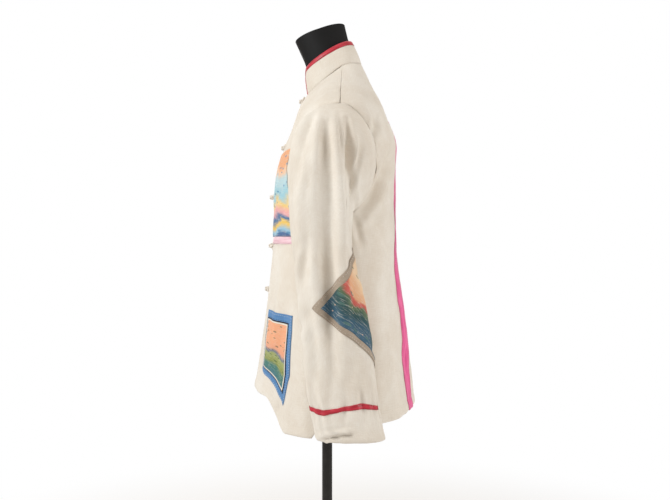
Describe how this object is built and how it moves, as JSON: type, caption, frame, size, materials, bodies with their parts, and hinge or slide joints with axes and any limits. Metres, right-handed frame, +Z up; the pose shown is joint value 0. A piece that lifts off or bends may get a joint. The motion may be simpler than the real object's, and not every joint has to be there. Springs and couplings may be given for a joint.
{
  "type": "cotton jacket on a dress form",
  "caption": "Off-white cotton jacket with a stand collar, corded closures, patch pockets and picture patches, worn by a black limbless dress form on a pole with a round base.",
  "frame": {"origin": "centre of the base's underside, on the pole's axis", "axes": "+Z up, -Y the way the jacket faces, +X the wearer's left"},
  "size_m": [0.614, 0.353, 1.3675],
  "materials": {
    "cotton": "matte canvas",
    "red_satin": "satin",
    "pink_tape": "satin",
    "pale_ribbon": "satin",
    "chest_print": "printed cotton",
    "pocket_print": "printed cotton",
    "elbow_print": "printed cotton",
    "blue_cotton": "matte",
    "taupe_cotton": "matte",
    "black_form": "matte",
    "black_metal": "satin"
  },
  "bodies": {
    "root": {"front_left": "cotton", "front_right": "cotton", "back": "cotton", "collar": "cotton", "sleeve_left": "cotton", "sleeve_right": "cotton", "collar_binding": "red_satin", "back_tape": "pink_tape", "chest_panel": "chest_print", "chest_ribbon": "pale_ribbon", "form": "black_form", "pole": "black_metal", "hub": "black_metal", "base": "black_metal", "cuff_strap_left": "red_satin", "elbow_frame_left": "taupe_cotton", "elbow_panel_left": "elbow_print", "pocket_frame_left": "blue_cotton", "pocket_panel_left": "pocket_print", "cuff_strap_right": "red_satin", "elbow_frame_right": "taupe_cotton", "elbow_panel_right": "elbow_print", "pocket_frame_right": "blue_cotton", "pocket_panel_right": "pocket_print", "frog_knot_1": "cotton", "frog_knot_2": "cotton", "frog_knot_3": "cotton", "frog_knot_4": "cotton", "frog_knot_5": "cotton", "frog_left_1": "cotton", "frog_left_2": "cotton", "frog_left_3": "cotton", "frog_left_4": "cotton", "frog_left_5": "cotton", "frog_right_1": "cotton", "frog_right_2": "cotton", "frog_right_3": "cotton", "frog_right_4": "cotton", "frog_right_5": "cotton"}
  },
  "joints": []
}
